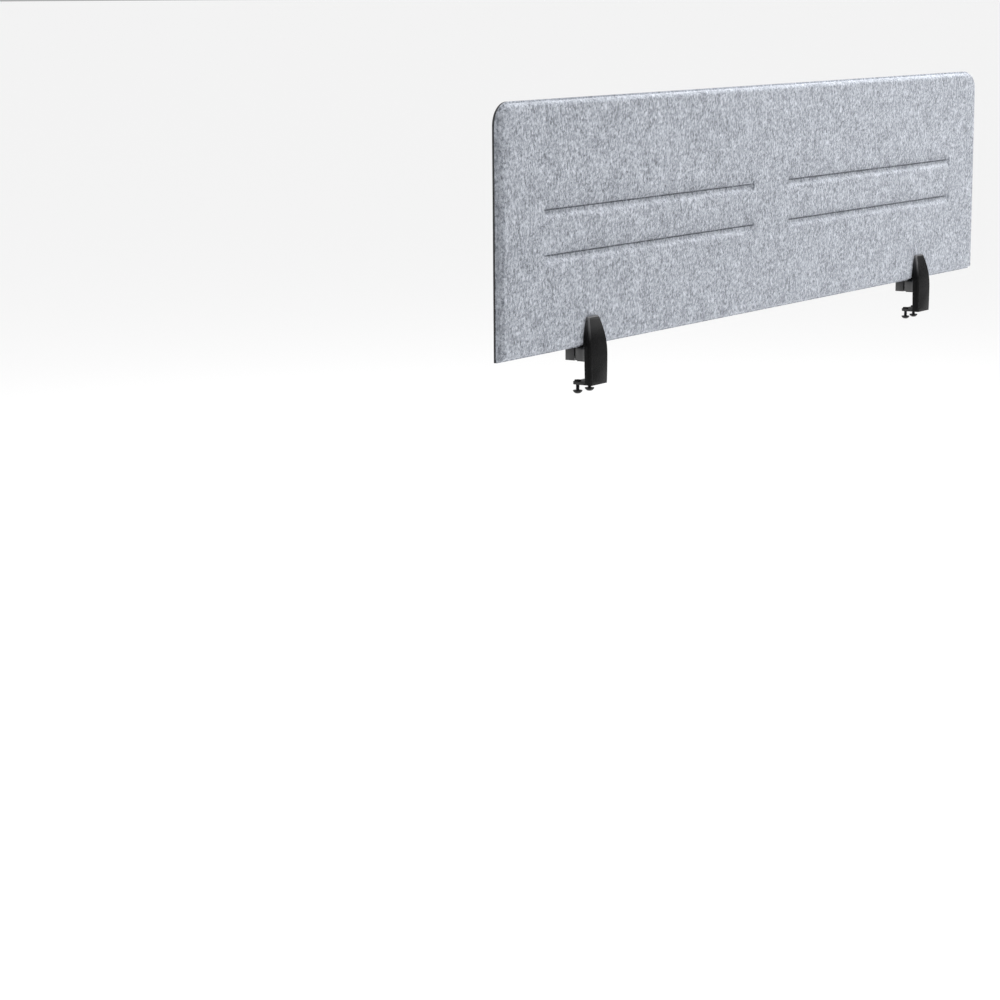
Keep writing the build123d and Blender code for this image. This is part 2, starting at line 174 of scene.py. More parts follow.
def finish_mesh(mesh: Mesh, sharp_degrees: float = 35.0) -> None:
    """Turn every face outwards, and smooth it up to a given fold.

    Args:
        mesh: a closed mesh.
        sharp_degrees: folds steeper than this stay sharp.
    """
    bm = bmesh.new()
    bm.from_mesh(mesh)
    bmesh.ops.remove_doubles(bm, verts=bm.verts, dist=1e-7)
    bmesh.ops.recalc_face_normals(bm, faces=bm.faces)
    bm.to_mesh(mesh)
    bm.free()
    mesh.polygons.foreach_set("use_smooth", [True] * len(mesh.polygons))
    mesh.set_sharp_from_angle(angle=math.radians(sharp_degrees))


def steps(start: float, end: float, size: float) -> list[float]:
    """Evenly spaced places from start up to, but without, end, about size apart."""
    count = max(1, round(abs(end - start) / size))
    return [start + (end - start) * i / count for i in range(count)]


# ------------------------------------------------------------------ finishes
class Surface(Enum):
    """The finishes that the pieces take."""

    FELT = "felt"
    BOARD = "board"
    NYLON = "black_nylon"
    SATIN = "satin_nylon"
    KNOB = "knob_nylon"
    COATED = "black_steel"
    OXIDE = "black_oxide_steel"
    ZINC = "zinc_steel"
    RUBBER = "rubber"


def new_material(name: str) -> tuple[Material, NodeWriter]:
    """An empty node material and the writer for its tree."""
    material = bpy.data.materials.new(name)
    material.use_nodes = True
    return material, NodeWriter(material.node_tree)


def colour_ramp(writer: NodeWriter, factor: Socket, stops: dict[float, Rgb]) -> Socket:
    """Colours along a factor.

    Args:
        writer: the tree's writer.
        factor: what the colours follow.
        stops: a colour for each place from 0 to 1, in order.

    Returns:
        The colour.
    """
    node = writer.add("ShaderNodeValToRGB", {"Fac": factor})
    elements = node.color_ramp.elements
    while len(elements) < len(stops):
        elements.new(0.5)
    for element, (place, colour) in zip(elements, stops.items()):
        element.position = place
        element.color = (*colour, 1.0)
    return node.outputs["Color"]


@dataclass(frozen=True)
class FibreLayer:
    """One layer of the felt's streaks: its lean in radians, the shift of its pattern, and its weight."""

    lean: float
    seed: float
    share: float
    width: float = 1.0
    long: bool = False


FIBRE_LAYERS = (
    FibreLayer(0.10, 0.0, 0.36),
    FibreLayer(-0.45, 3.1, 0.26, width=0.8),
    FibreLayer(0.85, 7.7, 0.20),
    FibreLayer(-0.05, 5.3, 0.18, width=0.9, long=True),
)
STRAND_LAYERS = ((0.3, 11.0), (-0.55, 17.0), (1.2, 23.0))  # lean and shift of the fine strands
STRAND_CURL = 1.2


@dataclass(frozen=True)
class FeltFinish:
    """Needled polyester felt of mixed pale and dark fibres that lie mostly upright."""

    name: str
    dark: Rgb
    middle: Rgb
    pale: Rgb
    fibre_width: float = 1.7 * MM
    fibre_length: float = 2.5 * MM
    long_fibre: float = 8.0 * MM
    cloud_size: float = 15.0 * MM
    cloud: float = 0.06
    nap: float = 0.30 * MM
    strand_width: float = 0.28 * MM
    strand_length: float = 4.5 * MM
    strand_contrast: float = 0.32
    speck_range: tuple[float, float] = (0.28, 0.40)
    speck_shade: float = 0.10
    fuzz_scale: float = 1600.0
    sheen: float = 0.15
    # strength of the painted shade and light in the grooves, read from the groove attribute
    groove_painted_shading: float = 0.13

    def _fibres(self, writer: NodeWriter, place: Socket, lean: float, seed: float,
                width: float, length: float, curl: float = 0.35) -> Socket:
        """Streaks that lean one way.

        Args:
            writer: the tree's writer.
            place: where on the piece.
            lean: the streaks' lean from upright, in radians.
            seed: shifts the pattern.
            width: width of one streak.
            length: length of one streak.
            curl: how much a streak winds.

        Returns:
            A value about 0.5, low between fibres and high on them.
        """
        turned = writer.add("ShaderNodeMapping", {
            "Vector": place, "Location": (seed, seed * 0.7, seed * 0.3),
            "Rotation": (0.0, lean, 0.0), "Scale": (1.0, 1.0, length / width),
        }, vector_type="TEXTURE")
        return writer.noise(turned.outputs["Vector"], 0.5 / width, 2.0, 0.6, curl)

    def material(self) -> Material:
        """Build the material."""
        material, w = new_material(self.name)
        place = w.add("ShaderNodeTexCoord").outputs["Object"]
        width = self.fibre_width
        mixed = None
        for layer in FIBRE_LAYERS:
            length = self.long_fibre if layer.long else self.fibre_length
            fibres = self._fibres(w, place, layer.lean, layer.seed, width * layer.width, length)
            terms = (fibres, layer.share) if mixed is None else (fibres, layer.share, mixed)
            mixed = w.math("MULTIPLY" if mixed is None else "MULTIPLY_ADD", *terms)
        cloud = w.noise(place, 0.5 / self.cloud_size, 3.0, 0.55)
        specks = w.noise(place, 0.5 / (width * 0.9), 1.0, 0.5)
        dips = w.remap(specks, self.speck_range, (-self.speck_shade, 0.0))
        shade = w.math("ADD", mixed, w.math("MULTIPLY_ADD", cloud, 2 * self.cloud, -self.cloud))
        shade = w.math("ADD", shade, dips)
        for lean, seed in STRAND_LAYERS:
            strands = self._fibres(w, place, lean, seed, self.strand_width, self.strand_length, STRAND_CURL)
            shade = w.math("ADD", shade, w.math("MULTIPLY_ADD", strands, self.strand_contrast,
                                                -self.strand_contrast / 2))
        # painted shade in and above the grooves' creases, and painted light on their lower walls
        pressed = w.add("ShaderNodeAttribute", attribute_name=GROOVE_PAINTED_SHADING).outputs["Fac"]
        shade = w.math("MULTIPLY_ADD", pressed, -self.groove_painted_shading, shade)
        colour = colour_ramp(w, shade, {0.36: self.dark, 0.50: self.middle, 0.64: self.pale})
        fuzz = w.noise(place, self.fuzz_scale, 2.0, 0.7)
        relief = w.math("ADD", w.math("MULTIPLY", mixed, 0.7), w.math("MULTIPLY", fuzz, 0.3))
        bump = w.add("ShaderNodeBump", {"Height": relief, "Distance": self.nap, "Strength": 0.7})
        shader = w.add("ShaderNodeBsdfPrincipled", {
            "Base Color": colour, "Roughness": 0.95, "Normal": bump.outputs["Normal"],
            "Sheen Weight": self.sheen, "Sheen Roughness": 0.5, "Specular IOR Level": 0.1,
        })
        w.add("ShaderNodeOutputMaterial", {"Surface": shader.outputs["BSDF"]})
        return material


@dataclass(frozen=True)
class MouldedFinish:
    """Moulded nylon or rubber with a fine spark grain, handling marks, and a painted highlight on tight edges
    near the top.
    """

    name: str
    colour: Rgb
    scuffed: Rgb
    roughness: float = 0.45
    gloss: float = 0.22
    grain: float = 0.30 * MM
    grain_depth: float = 0.015 * MM
    mark_scale: float = 60.0
    edge_gloss: float = 0.0
    # painted highlight: tight edges lighten towards this colour between these heights
    edge_highlight: float = 0.0
    highlight_colour: Rgb = (0.16, 0.16, 0.165)
    highlight_heights: tuple[float, float] = (25.0 * MM, 60.0 * MM)

    def material(self) -> Material:
        """Build the material."""
        material, w = new_material(self.name)
        place = w.add("ShaderNodeTexCoord").outputs["Object"]
        grain = w.noise(place, 0.5 / self.grain, 2.0, 0.6)
        marks = w.noise(place, self.mark_scale, 5.0, 0.7, 1.2)
        colour = colour_ramp(w, marks, {0.40: self.colour, 0.78: self.scuffed})
        rough = w.math("MULTIPLY_ADD", marks, 0.16, self.roughness - 0.08)
        bump = w.add("ShaderNodeBump", {"Height": grain, "Distance": self.grain_depth, "Strength": 0.8})
        # tight edges are glossier, and near the top lighter as a painted highlight
        polished = w.add("ShaderNodeAttribute", attribute_name=EDGE_TIGHTNESS).outputs["Fac"]
        height = w.add("ShaderNodeSeparateXYZ", {"Vector": place}).outputs["Z"]
        reach = w.remap(height, self.highlight_heights, (0.0, self.edge_highlight), interpolation_type="SMOOTHSTEP")
        mix = w.add("ShaderNodeMix", {
            MIX_FACTOR: w.math("MULTIPLY", polished, reach), MIX_FIRST: colour,
            MIX_SECOND: (*self.highlight_colour, 1.0),
        }, data_type="RGBA")
        colour = mix.outputs[MIX_RESULT]
        shader = w.add("ShaderNodeBsdfPrincipled", {
            "Base Color": colour, "Roughness": rough, "Normal": bump.outputs["Normal"],
            "Specular IOR Level": w.math("MULTIPLY_ADD", polished, self.edge_gloss, self.gloss),
        })
        w.add("ShaderNodeOutputMaterial", {"Surface": shader.outputs["BSDF"]})
        return material


@dataclass(frozen=True)
class SteelFinish:
    """Coated or plated steel, with a fine orange-peel or drawn grain and rubbed spots."""

    name: str
    colour: Rgb
    rubbed: Rgb
    metallic: float
    roughness: float
    grain: float = 0.5 * MM
    grain_depth: float = 0.008 * MM
    spot_scale: float = 160.0

    def material(self) -> Material:
        """Build the material."""
        material, w = new_material(self.name)
        place = w.add("ShaderNodeTexCoord").outputs["Object"]
        grain = w.noise(place, 0.5 / self.grain, 3.0, 0.55)
        spots = w.noise(place, self.spot_scale, 4.0, 0.65)
        colour = colour_ramp(w, spots, {0.45: self.colour, 0.75: self.rubbed})
        rough = w.math("MULTIPLY_ADD", spots, 0.2, self.roughness - 0.1)
        bump = w.add("ShaderNodeBump", {"Height": grain, "Distance": self.grain_depth, "Strength": 0.7})
        shader = w.add("ShaderNodeBsdfPrincipled", {
            "Base Color": colour, "Metallic": self.metallic, "Roughness": rough,
            "Normal": bump.outputs["Normal"],
        })
        w.add("ShaderNodeOutputMaterial", {"Surface": shader.outputs["BSDF"]})
        return material


@dataclass
class Palette:
    """Every finish of the object, built once."""

    finishes: dict[Surface, FeltFinish | MouldedFinish | SteelFinish] = field(default_factory=lambda: {
        Surface.FELT: FeltFinish("felt", (0.125, 0.134, 0.152), (0.32, 0.341, 0.381), (0.585, 0.61, 0.665)),
        Surface.BOARD: FeltFinish(
            "board", (0.018, 0.018, 0.020), (0.045, 0.046, 0.050), (0.085, 0.086, 0.092), nap=0.2 * MM,
            cloud=0.03,
        ),
        # black nylon with a painted highlight along its tight upper edges
        Surface.NYLON: MouldedFinish(
            "black_nylon", (0.0036, 0.0036, 0.0038), (0.0065, 0.0065, 0.0068), roughness=0.26, gloss=0.045,
            edge_gloss=0.08, edge_highlight=0.75,
        ),
        Surface.SATIN: MouldedFinish(
            "satin_nylon", (0.008, 0.008, 0.009), (0.013, 0.013, 0.0148), roughness=0.30, gloss=0.72,
        ),
        Surface.KNOB: MouldedFinish(
            "knob_nylon", (0.005, 0.005, 0.0052), (0.009, 0.009, 0.0095), roughness=0.32, gloss=0.20,
        ),
        Surface.COATED: SteelFinish(
            "black_steel", (0.010, 0.010, 0.0105), (0.02, 0.02, 0.021), metallic=0.0, roughness=0.5,
        ),
        Surface.OXIDE: SteelFinish(
            "black_oxide_steel", (0.05, 0.05, 0.053), (0.12, 0.12, 0.125), metallic=1.0, roughness=0.42,
        ),
        Surface.ZINC: SteelFinish(
            "zinc_steel", (0.52, 0.53, 0.55), (0.66, 0.67, 0.68), metallic=1.0, roughness=0.35,
        ),
        Surface.RUBBER: MouldedFinish(
            "rubber", (0.014, 0.014, 0.014), (0.022, 0.022, 0.022), roughness=0.85, gloss=0.15,
        ),
    })
    built: dict[Surface, Material] = field(default_factory=dict)

    def material(self, surface: Surface) -> Material:
        """The material of one finish, made the first time it is asked for."""
        if surface not in self.built:
            self.built[surface] = self.finishes[surface].material()
        return self.built[surface]

    def dress(self, obj: Object, surface: Surface) -> Object:
        """Give a piece one finish all over.

        Args:
            obj: the piece.
            surface: its finish.

        Returns:
            The piece.
        """
        obj.data.materials.clear()
        obj.data.materials.append(self.material(surface))
        return obj


# ------------------------------------------------------------------ geometry trees
@dataclass
class Recipe:
    """A geometry tree with named inputs, which makes a plain mesh from another."""

    name: str
    inputs: dict[str, float]
    write: Callable[[NodeWriter, dict[str, Socket]], Socket]
    tree: bpy.types.NodeTree | None = None

    def build(self) -> bpy.types.NodeTree:
        """Write the tree once: its inputs, its body, then Realize Instances and Set Material."""
        if self.tree is not None:
            return self.tree
        self.tree = bpy.data.node_groups.new(self.name, "GeometryNodeTree")
        sockets = self.tree.interface
        sockets.new_socket("Geometry", in_out="INPUT", socket_type="NodeSocketGeometry")
        for name, value in self.inputs.items():
            kind = "NodeSocketInt" if isinstance(value, int) else "NodeSocketFloat"
            sockets.new_socket(name, in_out="INPUT", socket_type=kind).default_value = value
        sockets.new_socket("Material", in_out="INPUT", socket_type="NodeSocketMaterial")
        sockets.new_socket("Geometry", in_out="OUTPUT", socket_type="NodeSocketGeometry")
        w = NodeWriter(self.tree)
        given = w.add("NodeGroupInput").outputs
        shape = self.write(w, {socket.name: socket for socket in given})
        plain = w.add("GeometryNodeRealizeInstances", {"Geometry": shape})
        painted = w.add("GeometryNodeSetMaterial", {
            "Geometry": plain.outputs["Geometry"], "Material": given["Material"],
        })
        w.add("NodeGroupOutput", {"Geometry": painted.outputs["Geometry"]})
        return self.tree

    def apply(self, obj: Object, material: Material, **values: float) -> None:
        """Run the tree on an object and keep the result as its plain mesh.

        Args:
            obj: the object, whose mesh is the tree's input.
            material: what Set Material gives.
            values: the inputs that differ from their defaults, with _ for a space.
        """
        tree = self.build()
        modifier = obj.modifiers.new(self.name, "NODES")
        modifier.node_group = tree
        named = {key.replace("_", " "): value for key, value in values.items()}
        for item in tree.interface.items_tree:
            if item.in_out != "INPUT":
                continue
            if item.name == "Material":
                modifier[item.identifier] = material
            elif item.name in named:
                modifier[item.identifier] = named[item.name]
        obj.update_tag()
        bpy.context.view_layer.update()
        evaluated = obj.evaluated_get(bpy.context.evaluated_depsgraph_get())
        mesh = bpy.data.meshes.new_from_object(evaluated)
        obj.modifiers.remove(modifier)
        old = obj.data
        obj.data = mesh
        mesh.name = obj.name
        bpy.data.meshes.remove(old)


# section of a pressed groove: distance from the crease, share of the full depth, and the curve's handle
LOWER_WALL = ((12.6 * MM, 0.10, "AUTO"), (9.0 * MM, 0.42, "AUTO"), (5.2 * MM, 0.94, "AUTO_CLAMPED"))
UPPER_WALL = ((0.5 * MM, 0.46, "VECTOR"), (4.5 * MM, 0.19, "AUTO"))
NOTCH_CORE = 0.25               # half of the notch's full-depth floor, as a share of its width
NOTCH_EDGE = 0.62               # half of its whole reach, likewise
NOTCH_RUN = 1.6                 # length over which it fades at an end, as a share of the end run
ROLL_SHADE = 0.22               # painted shade just above the crease, where the roll turns down
WALL_SHADE = -0.28              # painted light on the lower wall, which faces up
WALL_BAND = (1.0 * MM, 4.5 * MM)
THREAD_SLOPE, THREAD_CREST = 1.35, -0.2
THREAD_SIDE = 0.98              # share of the radius beyond which a point is on the bar's side


def groove_section(w: NodeWriter, across: Socket, lower: float, upper: float) -> Socket:
    """Depth of a pressed groove across its width, as a share of its full depth.

    Args:
        w: the tree's writer.
        across: the height above the crease.
        lower: how far the groove reaches below its crease.
        upper: how far it reaches above.

    Returns:
        0 outside the groove, 1 on its floor.
    """
    place = w.remap(across, (-lower, upper), (0.0, 1.0))
    node = w.add("ShaderNodeFloatCurve", {"Value": place})
    curve = node.mapping.curves[0]
    width = lower + upper
    stops = [(0.0, 0.0, "AUTO_CLAMPED")]
    stops += [((lower - below) / width, depth, handle) for below, depth, handle in LOWER_WALL]
    stops.append((lower / width, 1.0, "VECTOR"))
    stops += [((lower + above) / width, depth, handle) for above, depth, handle in UPPER_WALL]
    stops.append((1.0, 0.0, "AUTO_CLAMPED"))
    while len(curve.points) < len(stops):
        curve.points.new(0.5, 0.5)
    for point, (x, y, handle) in zip(curve.points, stops):
        point.location = (x, y)
        point.handle_type = handle
    node.mapping.update()
    return node.outputs["Value"]


def write_groove(w: NodeWriter, given: dict[str, Socket]) -> Socket:
    """Tree body that presses one groove into the front of the felt, and stores painted shade in and above its
    crease and painted light on its lower wall.
    """
    position = w.add("GeometryNodeInputPosition").outputs["Position"]
    axes = w.add("ShaderNodeSeparateXYZ", {"Vector": position}).outputs
    across = w.math("SUBTRACT", axes["Z"], given["Crease height"])
    section = groove_section(w, across, FeltFace.GROOVE_LOWER, FeltFace.GROOVE_UPPER)
    from_start = w.math("SUBTRACT", axes["X"], given["Start"])
    from_end = w.math("SUBTRACT", w.math("ADD", given["Start"], given["Length"]), axes["X"])
    nearest = w.math("MINIMUM", from_start, from_end)
    end_wall = w.remap(nearest, (0.0, given["End run"]), (0.0, 1.0), interpolation_type="SMOOTHSTEP")
    notch_ends = w.remap(nearest, (0.0, w.math("MULTIPLY", given["End run"], NOTCH_RUN)), (0.0, 1.0))
    from_notch = w.math("ABSOLUTE", w.math("ADD", across, w.math("MULTIPLY", given["Notch width"], 0.5)))
    core, edge = (w.math("MULTIPLY", given["Notch width"], share) for share in (NOTCH_CORE, NOTCH_EDGE))
    notch = w.remap(from_notch, (core, edge), (1.0, 0.0))
    notch = w.math("MULTIPLY", notch, notch_ends)
    share = w.math("MINIMUM", section, end_wall)
    depth = w.math("MULTIPLY_ADD", notch, given["Notch depth"], w.math("MULTIPLY", share, given["Depth"]))
    offset = w.add("ShaderNodeCombineXYZ", {"Y": depth}).outputs["Vector"]
    front = w.math("LESS_THAN", axes["Y"], given["Front limit"])
    # painted shade above the crease and in its notch, painted light on the lower wall, stored for the felt's
    # colour
    above = w.remap(across, (0.0, given["Roll height"]), (ROLL_SHADE, 0.0))
    above = w.math("MULTIPLY", w.math("MULTIPLY", above, notch_ends), w.math("GREATER_THAN", across, 0.0))
    from_wall = w.math("ABSOLUTE", w.math("ADD", across, given["Wall drop"]))
    wall = w.remap(from_wall, WALL_BAND, (WALL_SHADE, 0.0))
    painted_shading = w.math("ADD", w.math("MAXIMUM", notch, above), w.math("MULTIPLY", wall, notch_ends))
    before = w.add("GeometryNodeInputNamedAttribute", {"Name": GROOVE_PAINTED_SHADING}, data_type="FLOAT")
    before = before.outputs["Attribute"]
    marked = w.add("GeometryNodeStoreNamedAttribute", {
        "Geometry": given["Geometry"], "Name": GROOVE_PAINTED_SHADING, "Value": w.math("ADD", before, painted_shading),
    }, data_type="FLOAT", domain="POINT")
    moved = w.add("GeometryNodeSetPosition", {
        "Geometry": marked.outputs["Geometry"], "Selection": front, "Offset": offset,
    })
    return moved.outputs["Geometry"]


def write_thread(w: NodeWriter, given: dict[str, Socket]) -> Socket:
    """Tree body that cuts a helical thread into the side of an upright bar."""
    position = w.add("GeometryNodeInputPosition").outputs["Position"]
    axes = w.add("ShaderNodeSeparateXYZ", {"Vector": position}).outputs
    turn = w.math("DIVIDE", w.math("ARCTAN2", axes["Y"], axes["X"]), 2 * math.pi)
    climb = w.math("DIVIDE", axes["Z"], given["Pitch"])
    phase = w.math("FRACT", w.math("SUBTRACT", climb, turn))
    flank = w.math("ABSOLUTE", w.math("MULTIPLY_ADD", phase, 2.0, -1.0))
    root = w.math("MULTIPLY_ADD", flank, THREAD_SLOPE, THREAD_CREST)
    share = w.math("MINIMUM", w.math("MAXIMUM", root, 0.0), 1.0)
    radius = w.math("SQRT", w.math("ADD", w.math("POWER", axes["X"], 2.0), w.math("POWER", axes["Y"], 2.0)))
    on_side = w.math("GREATER_THAN", radius, w.math("MULTIPLY", given["Radius"], THREAD_SIDE))
    from_low = w.math("SUBTRACT", axes["Z"], given["Low end"])
    from_high = w.math("SUBTRACT", given["High end"], axes["Z"])
    nearest = w.math("MINIMUM", from_low, from_high)
    ends = w.remap(nearest, (0.0, given["Pitch"]), (0.0, 1.0))
    cut = w.math("MULTIPLY", w.math("MULTIPLY", share, given["Thread depth"]), ends)
    scale = w.math("DIVIDE", w.math("MULTIPLY", cut, -1.0), given["Radius"])
    offset = w.add("ShaderNodeCombineXYZ", {
        "X": w.math("MULTIPLY", axes["X"], scale), "Y": w.math("MULTIPLY", axes["Y"], scale),
    }).outputs["Vector"]
    moved = w.add("GeometryNodeSetPosition", {
        "Geometry": given["Geometry"], "Selection": on_side, "Offset": offset,
    })
    return moved.outputs["Geometry"]


def write_ridges(w: NodeWriter, given: dict[str, Socket]) -> Socket:
    """Tree body that sets ridges round an upright drum, its own mesh kept."""
    ring = w.add("GeometryNodeMeshCircle", {"Vertices": given["Count"], "Radius": given["Radius"]})
    position = w.add("GeometryNodeInputPosition").outputs["Position"]
    turn = w.add("FunctionNodeAlignRotationToVector", {"Vector": position}, axis="X").outputs["Rotation"]
    size = w.add("ShaderNodeCombineXYZ", {
        "X": w.math("MULTIPLY", given["Ridge width"], 0.7), "Y": given["Ridge width"], "Z": given["Height"],
    }).outputs["Vector"]
    ridge = w.add("GeometryNodeMeshCylinder", {
        "Vertices": 6, "Radius": 0.5, "Depth": 1.0, "Side Segments": 1,
    }, fill_type="NGON")
    placed = w.add("GeometryNodeInstanceOnPoints", {
        "Points": ring.outputs["Mesh"], "Instance": ridge.outputs["Mesh"], "Rotation": turn, "Scale": size,
    })
    raised = w.add("GeometryNodeTransform", {
        "Geometry": placed.outputs["Instances"],
        "Translation": w.add("ShaderNodeCombineXYZ", {"Z": given["Middle"]}).outputs["Vector"],
    })
    joined = w.add("GeometryNodeJoinGeometry")
    w.tree.links.new(given["Geometry"], joined.inputs["Geometry"])
    w.tree.links.new(raised.outputs["Geometry"], joined.inputs["Geometry"])
    return joined.outputs["Geometry"]


def write_ribs(w: NodeWriter, given: dict[str, Socket]) -> Socket:
    """Tree body that lays a row of round-backed ribs along X, side by side in Y, its own mesh kept."""
    gaps = w.math("SUBTRACT", given["Count"], 1.0)
    step = w.math("DIVIDE", w.math("SUBTRACT", given["Far"], given["Near"]), gaps)
    line = w.add("GeometryNodeMeshLine", {
        "Count": given["Count"],
        "Start Location": w.add("ShaderNodeCombineXYZ", {
            "X": given["Middle"], "Y": given["Near"], "Z": given["Height"],
        }).outputs["Vector"],
        "Offset": w.add("ShaderNodeCombineXYZ", {"Y": step}).outputs["Vector"],
    })
    rib = w.add("GeometryNodeMeshCylinder", {
        "Vertices": 10, "Radius": w.math("MULTIPLY", given["Rib width"], 0.5),
        "Depth": given["Rib length"], "Side Segments": 1,
    }, fill_type="NGON")
    lying = w.add("GeometryNodeTransform", {
        "Geometry": rib.outputs["Mesh"], "Rotation": (0.0, math.pi / 2, 0.0),
    })
    placed = w.add("GeometryNodeInstanceOnPoints", {
        "Points": line.outputs["Mesh"], "Instance": lying.outputs["Geometry"],
    })
    joined = w.add("GeometryNodeJoinGeometry")
    w.tree.links.new(given["Geometry"], joined.inputs["Geometry"])
    w.tree.links.new(placed.outputs["Instances"], joined.inputs["Geometry"])
    return joined.outputs["Geometry"]


# ------------------------------------------------------------------ the panel
@dataclass
class PanelOutline:
    """Front view of the panel, from which rings run inwards to a square-cornered field."""

    low: Vector
    high: Vector
    corner_radius: float = 30.0 * MM
    corner_steps: int = 20

    def field_columns(self) -> tuple[float, float]:
        """Left and right side of the field inside the rings."""
        return self.low.x + self.corner_radius, self.high.x - self.corner_radius

    def field_rows(self) -> tuple[float, float]:
        """Bottom and top of the field inside the rings."""
        return self.low.z + self.corner_radius, self.high.z - self.corner_radius

    def spokes(self, columns: Sequence[float], rows: Sequence[float]) -> list[tuple[int, int, float, float]]:
        """Lines from the field's edge out to the outline, in order round it.

        Args:
            columns: X of the field's grid lines.
            rows: Z of the field's grid lines.

        Returns:
            For each spoke the field's column and row that it starts from, and its run in X and Z
            for one unit of distance from the field.
        """
        last_column, last_row = len(columns) - 1, len(rows) - 1
        found = [(0, 0, -1.0, -1.0)]
        found += [(0, j, -1.0, 0.0) for j in range(1, last_row)]
        found += [(0, last_row, *self._arc(i)) for i in range(self.corner_steps + 1)]
        found += [(i, last_row, 0.0, 1.0) for i in range(1, last_column)]
        found += [(last_column, last_row, -self._arc(i)[0], self._arc(i)[1])
                  for i in range(self.corner_steps, -1, -1)]
        found += [(last_column, j, 1.0, 0.0) for j in range(last_row - 1, 0, -1)]
        found.append((last_column, 0, 1.0, -1.0))
        found += [(i, 0, 0.0, -1.0) for i in range(last_column - 1, 0, -1)]
        return found

    def _arc(self, step: int) -> tuple[float, float]:
        """Direction of one spoke of the upper left corner."""
        angle = math.pi - math.pi / 2 * step / self.corner_steps
        return math.cos(angle), math.sin(angle)

    def mesh(self, name: str, columns: Sequence[float], rows: Sequence[float],
             profile: Sequence[tuple[float, float]],
             field_depth: Callable[[float, float], float]) -> Mesh:
        """Closed sheet with the outline's shape.

        Args:
            name: the mesh's name.
            columns: X of the field's grid lines.
            rows: Z of the field's grid lines.
            profile: distance in from the outline and Y, from the closed side's edge inwards.
            field_depth: Y of the field at an X and a Z.

        Returns:
            The mesh, closed by one flat face across the profile's first ring.
        """
        bm = bmesh.new()
        grid = [[bm.verts.new((x, field_depth(x, z), z)) for z in rows] for x in columns]
        spokes = self.spokes(columns, rows)
        rings = []
        for inset, y in profile:
            run = self.corner_radius - inset
            rings.append([
                bm.verts.new((columns[i] + dx * run, y, rows[j] + dz * run)) for i, j, dx, dz in spokes
            ])
        rings.append([grid[i][j] for i, j, _, _ in spokes])
        for outer, inner in zip(rings, rings[1:]):
            for k in range(len(spokes)):
                after = (k + 1) % len(spokes)
                corners = [outer[k], outer[after], inner[after], inner[k]]
                if inner[after] is inner[k]:
                    corners.pop()
                bm.faces.new(corners)
        for i in range(len(columns) - 1):
            for j in range(len(rows) - 1):
                bm.faces.new((grid[i][j], grid[i + 1][j], grid[i + 1][j + 1], grid[i][j + 1]))
        bm.faces.new(rings[0])
        mesh = bpy.data.meshes.new(name)
        bm.to_mesh(mesh)
        bm.free()
        return mesh


